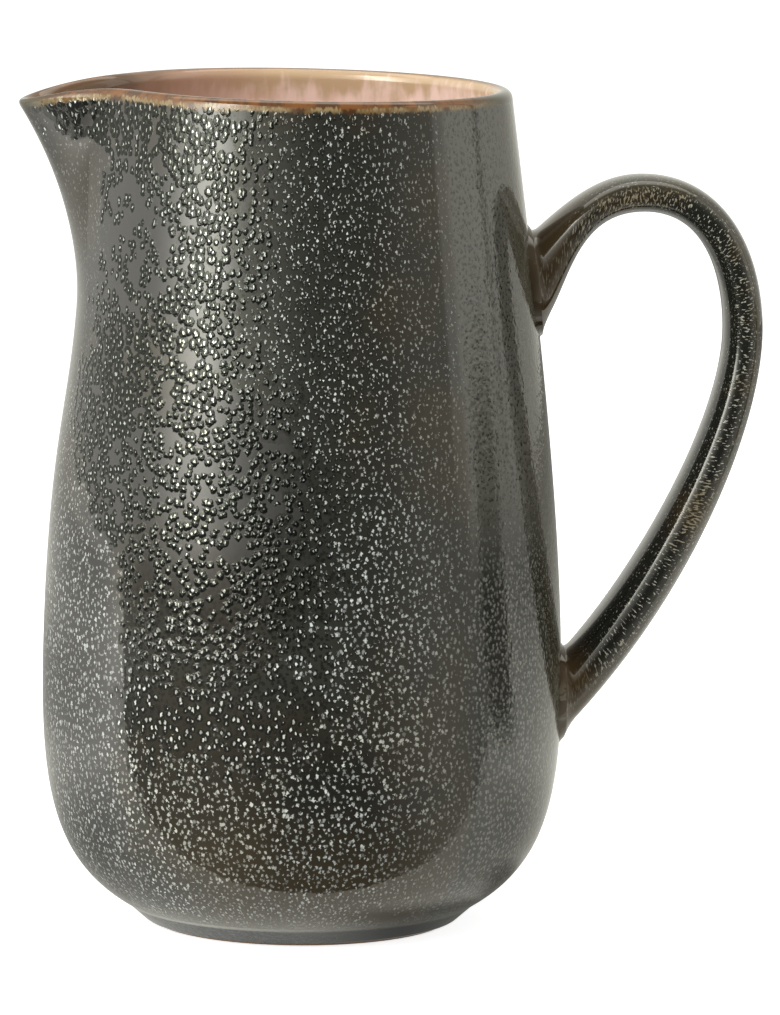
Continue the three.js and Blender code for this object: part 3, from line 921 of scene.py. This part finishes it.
# Bare clay
CLAY_DARK_COLOR = (0.30, 0.19, 0.10)
CLAY_PALE_COLOR = (0.48, 0.34, 0.22)
CLAY_ROUGHNESS = 0.85
CLAY_GRAIN_HEIGHT = 0.1 * MM
CLAY_GRAIN_FREQUENCY = 900


def bare_clay():
    finish = Finish("bare_clay")
    grain = finish.noise(finish.place, CLAY_GRAIN_FREQUENCY, 4)
    color = finish.blend(grain, CLAY_DARK_COLOR, CLAY_PALE_COLOR)
    return finish.shade(
        Base_Color=color, Roughness=CLAY_ROUGHNESS, Normal=finish.bumped(grain * CLAY_GRAIN_HEIGHT)
    )


# Pieces of the jug
wall_lengths = flow_lengths(wall_line, 0)
outside_lengths = [wall_lengths[-1] - length for length in wall_lengths[: len(outside_line)]]
crease_drop = outside_lengths[len(foot_side) + CREASE_STEPS // 2] * MM
rim_line = outside_band + lip + inside_band
rim_lengths = [RIM_BAND - length for length in flow_lengths(rim_line, 0)]
inside_lengths = [rim_lengths[-1] - length for length in flow_lengths(inside_line, 0)]

strap_mesh, strap_length = strap()

dark = dark_glaze()
strap_dark = handle_glaze(strap_length)
amber = rim_glaze()
pink = inside_glaze()
clay = bare_clay()

clay_depth = GLAZE + GLAZE_FIT
ring_inside = FOOT_RADIUS - FOOT_RING_WIDTH
recess_top = BASE_RECESS + clay_depth
bare_foot = at_depth(wall_line, clay_depth)[0]
foot_outside = bare_foot.x - (bare_foot.y - FOOT_BEVEL) * FOOT_FLARE / FOOT_HEIGHT
clay_outline = [
    Vector((0, recess_top)),
    Vector((ring_inside, recess_top)),
    Vector((ring_inside, FOOT_BEVEL)),
    Vector((ring_inside + FOOT_BEVEL, 0)),
    Vector((foot_outside - FOOT_BEVEL, 0)),
    Vector((foot_outside, FOOT_BEVEL)),
]
clay_outline += at_depth(wall_line + lip + inside_band + inside_line[1:], clay_depth)
base_edge = Vector((ring_inside - BASE_COAT_GAP, BASE_RECESS))
base_middle = Vector((0, BASE_RECESS))
upwards = Vector((0, 1))
base_line = [(base_edge.lerp(base_middle, ring / BASE_RINGS), upwards) for ring in range(BASE_RINGS + 1)]
base_lengths = [outside_lengths[0] + length for length in flow_lengths(base_line, 0)]

for name, line, lengths, finish, node, slot in (
    ("outside_coat", outside_line, outside_lengths, dark, "outside_glaze", "dark_glaze"),
    ("rim_coat", rim_line, rim_lengths, amber, "rim_glaze", "amber_glaze"),
    ("inside_coat", inside_line, inside_lengths, pink, "inside_glaze", "pink_glaze"),
    ("base_coat", base_line, base_lengths, dark, "base_glaze", "dark_glaze"),
):
    finished(name, turned(coat(line), lengths + lengths[::-1]), finish, node)
finished("clay_body", turned(clay_outline, [0] * len(clay_outline)), clay, "stoneware_body")
finished("handle_coat", strap_mesh, strap_dark, "handle_glaze")
for node in ("stoneware_handle", "upper_handle_slip", "lower_handle_slip"):
    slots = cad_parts[node].data.materials
    slots.clear()
    slots.append(clay)

# Camera
CAMERA_AZIMUTH = -3.5
CAMERA_ELEVATION = 8.1
CAMERA_ROLL = 0.3
CAMERA_DISTANCE = 1.75
CAMERA_LENS = 261.9
CAMERA_TARGET = Vector((axis_x + 0.02071, 0, 0.09835))


def direction(azimuth, elevation):
    """From the jug towards a place: azimuth 0 is in front of it, and grows to the right."""
    turn = math.radians(azimuth)
    lift = math.radians(elevation)
    return Vector((math.sin(turn) * math.cos(lift), -math.cos(turn) * math.cos(lift), math.sin(lift)))


towards_camera = direction(CAMERA_AZIMUTH, CAMERA_ELEVATION)
camera = bpy.data.objects.new("camera", bpy.data.cameras.new("camera"))
camera.data.lens = CAMERA_LENS
camera.matrix_world = (
    Matrix.Translation(CAMERA_TARGET + towards_camera * CAMERA_DISTANCE)
    @ towards_camera.to_track_quat("Z", "Y").to_matrix().to_4x4()
    @ Matrix.Rotation(math.radians(CAMERA_ROLL), 4, "Z")
)
bpy.context.scene.collection.objects.link(camera)
bpy.context.scene.camera = camera
bpy.context.scene.view_settings.view_transform = "Standard"


# Lamps: azimuth and elevation in degrees, distance, width, height and radiance
SOFTBOXES = {
    "key_softbox": (-55, 25, 1.2, 0.7, 0.9, 5),
    "left_softbox": (-105, 20, 1.2, 0.8, 0.9, 1.5),
    "right_softbox": (83, 20, 1.2, 0.8, 0.9, 1.5),
    "top_softbox": (0, 80, 1.1, 1.0, 1.0, 2.2),
}
LAMP_TARGET = Vector((axis_x, 0, 0.1))


def softbox(name, azimuth, elevation, distance, width, height, radiance):
    """A soft rectangular lamp that faces the jug; its reflection comes from the surround."""
    lamp = bpy.data.lights.new(name, "AREA")
    lamp.shape = "RECTANGLE"
    lamp.size = width
    lamp.size_y = height
    lamp.energy = radiance * math.pi * width * height
    box = bpy.data.objects.new(name, lamp)
    out = direction(azimuth, elevation)
    facing = out.to_track_quat("Z", "Y").to_matrix().to_4x4()
    box.matrix_world = Matrix.Translation(LAMP_TARGET + out * distance) @ facing
    box.visible_glossy = False
    bpy.context.scene.collection.objects.link(box)


for name, setting in SOFTBOXES.items():
    softbox(name, *setting)

# Backdrop: white to the camera and in reflections, dimmer as a lamp
WORLD_LIGHT = 0.45
PAPER_COLOR = (0.85, 0.85, 0.85)
PAPER_GLOW = 0.8
PAPER_HALF_SIZE = 3
PAPER_DROP = 0.0003
world = bpy.data.worlds.new("studio")
world.use_nodes = True
sky = Graph(world.node_tree)


def seen(graph):
    """1 for the camera, and for what glossy and clear surfaces show."""
    paths = graph.node("ShaderNodeLightPath")
    return paths + paths.also("Is Glossy Ray") + paths.also("Is Transmission Ray")


white = seen(sky) * (1 - WORLD_LIGHT) + WORLD_LIGHT
sky.feed(world.node_tree.nodes["Background"], {"Color": sky.vector(white, white, white), "Strength": 1})
bpy.context.scene.world = world


def staged(name, bm, finish):
    """Adds a piece of the studio, which isn't part of the jug."""
    mesh = bpy.data.meshes.new(name)
    bm.to_mesh(mesh)
    bm.free()
    mesh.materials.append(finish)
    piece = bpy.data.objects.new(name, mesh)
    bpy.context.scene.collection.objects.link(piece)
    return piece


paper = Finish("white_paper")
glow = seen(paper) * PAPER_GLOW
paper.shade(
    Base_Color=PAPER_COLOR, Roughness=1, Specular_IOR_Level=0, Emission_Strength=1,
    Emission_Color=paper.vector(glow, glow, glow),
)
bm = bmesh.new()
bmesh.ops.create_grid(bm, x_segments=1, y_segments=1, size=PAPER_HALF_SIZE)
bmesh.ops.translate(bm, verts=bm.verts, vec=(0, 0, -PAPER_DROP))
staged("floor", bm, paper.material)

# Surround: what the glaze reflects, round the jug as bearings from the camera in degrees and brightness
SURROUND = (
    (-180, 0.9), (-140, 0.75), (-125, 1.15), (-104, 1.5), (-80, 1.7), (-68, 4), (-55, 10), (-46, 12),
    (-38, 6), (-28, 2.2), (-18, 1.3), (-4, 0.6), (8, 0.2), (18, 0.1), (30, 0.15), (40, 0.26), (52, 0.45),
    (73, 0.65), (75, 1.4), (104, 1.3), (105.5, 0.25), (107.5, 0.25), (109, 1.1), (125, 0.8), (140, 0.6),
    (160, 0.8), (180, 0.9),
)
SURROUND_PEAK = 12
SURROUND_GREEN = 0.99
SURROUND_BLUE = 0.89
SURROUND_RADIUS = 1.5
SURROUND_HEIGHT = 2.0
SURROUND_LIFT = 0.001
SURROUND_STEPS = 96
SURROUND_MERGE = 0.0001
WALL_LIT_HEIGHT = 0.26
CEILING_LIGHT = 2.2
CEILING_SHADE = 0.3
CEILING_DEPTH = 0.6
TABLE_EDGE = -0.0580
TABLE_END_BEARING = -84
STAND_BEARING = 93
STAND_HALF_WIDTH = (9, 5)
STAND_DARKNESS = 0.85
JUG_SHADOW_RADIUS = (0.074, 0.058)
FOOT_SHADOW_RADIUS = (0.052, 0.044)
surround = Finish("surround")
place = surround.node("ShaderNodeSeparateXYZ", {}, {0: surround.place})
out = place - axis_x
back = place.also("Y")
up = place.also("Z")
radius = (out * out + back * back).math("SQRT")
bearing = out.math("ARCTAN2", back * -1) * (180 / math.pi) - CAMERA_AZIMUTH

# Walls: the lamps' light, above a dark front
ring = surround.node(
    "ShaderNodeValToRGB", {"stops": [(0.5 + turn / 360, level / SURROUND_PEAK) for turn, level in SURROUND]},
    {0: bearing / 360 + 0.5},
) * SURROUND_PEAK
dark_front = bearing.smooth(5, -40) * 0.28 + bearing.smooth(20, 62) * 0.6 + 0.08
stand = abs(bearing - STAND_BEARING).smooth(*STAND_HALF_WIDTH) * STAND_DARKNESS
lit_behind = bearing.smooth(-74, -82) + bearing.smooth(125, 150)
lit = up.smooth(0, WALL_LIT_HEIGHT).math("MAXIMUM", lit_behind)
wall_light = (ring * lit + dark_front * (1 - lit)) * (1 - stand * up.smooth(0.24, 0.10))

# Table: bright along its front edge, with the jug's shadow on the right
behind = back.math("MAXIMUM", 0)
table_left = (behind / -0.16).math("EXPONENT") * 1.85 + radius.smooth(0.3, 0.7) * 0.57 + 0.18
table_right = (behind / -0.3).math("EXPONENT") * 1.35 + 0.2
rightward = out.smooth(-0.1, 0.1)
near = back.smooth(0, -0.05) * 0.37 + rightward * 0.2 + 0.22
table = table_left * (1 - rightward) + table_right * rightward
table = table * (near + (1 - near) * radius.smooth(0.06, 0.24))
jug_shadow = radius.smooth(*JUG_SHADOW_RADIUS) * bearing.smooth(60, 90) * bearing.smooth(170, 120) * 0.7
foot_shadow = radius.smooth(*FOOT_SHADOW_RADIUS) * out.smooth(-0.005, 0.025) * 0.75
shadow = jug_shadow.math("MAXIMUM", foot_shadow)
on_table = (back > TABLE_EDGE).math("MAXIMUM", bearing < TABLE_END_BEARING)
floor_light = table * (1 - shadow) * on_table + dark_front * (1 - on_table)
floor_light = floor_light * (1 - stand * radius.smooth(0.2, 0.4))

# Ceiling: brighter towards the back
ceiling_light = back.smooth(0, CEILING_DEPTH) * CEILING_LIGHT + CEILING_SHADE
on_wall_side = up > SURROUND_LIFT * 2
overhead = up > SURROUND_HEIGHT - 0.01
light = wall_light * on_wall_side + floor_light * (1 - on_wall_side)
light = light * (1 - overhead) + ceiling_light * overhead
surround.shade(
    Base_Color=(0, 0, 0), Specular_IOR_Level=0, Emission_Strength=1,
    Emission_Color=surround.vector(light, light * SURROUND_GREEN, light * SURROUND_BLUE),
)
bm = bmesh.new()
rise = [bm.verts.new(at) for at in (
    (0, 0, SURROUND_LIFT),
    (SURROUND_RADIUS, 0, SURROUND_LIFT),
    (SURROUND_RADIUS, 0, SURROUND_HEIGHT),
    (0, 0, SURROUND_HEIGHT),
)]
edges = [bm.edges.new(ends) for ends in zip(rise, rise[1:])]
bmesh.ops.spin(
    bm, geom=rise + edges, axis=(0, 0, 1), cent=(0, 0, 0), angle=math.tau, steps=SURROUND_STEPS,
    use_merge=True,
)
bmesh.ops.remove_doubles(bm, verts=bm.verts, dist=SURROUND_MERGE)
bmesh.ops.translate(bm, verts=bm.verts, vec=(axis_x, 0, 0))
cloth = staged("surround", bm, surround.material)
cloth.visible_camera = False
cloth.visible_diffuse = False
cloth.visible_shadow = False
cloth.visible_transmission = False
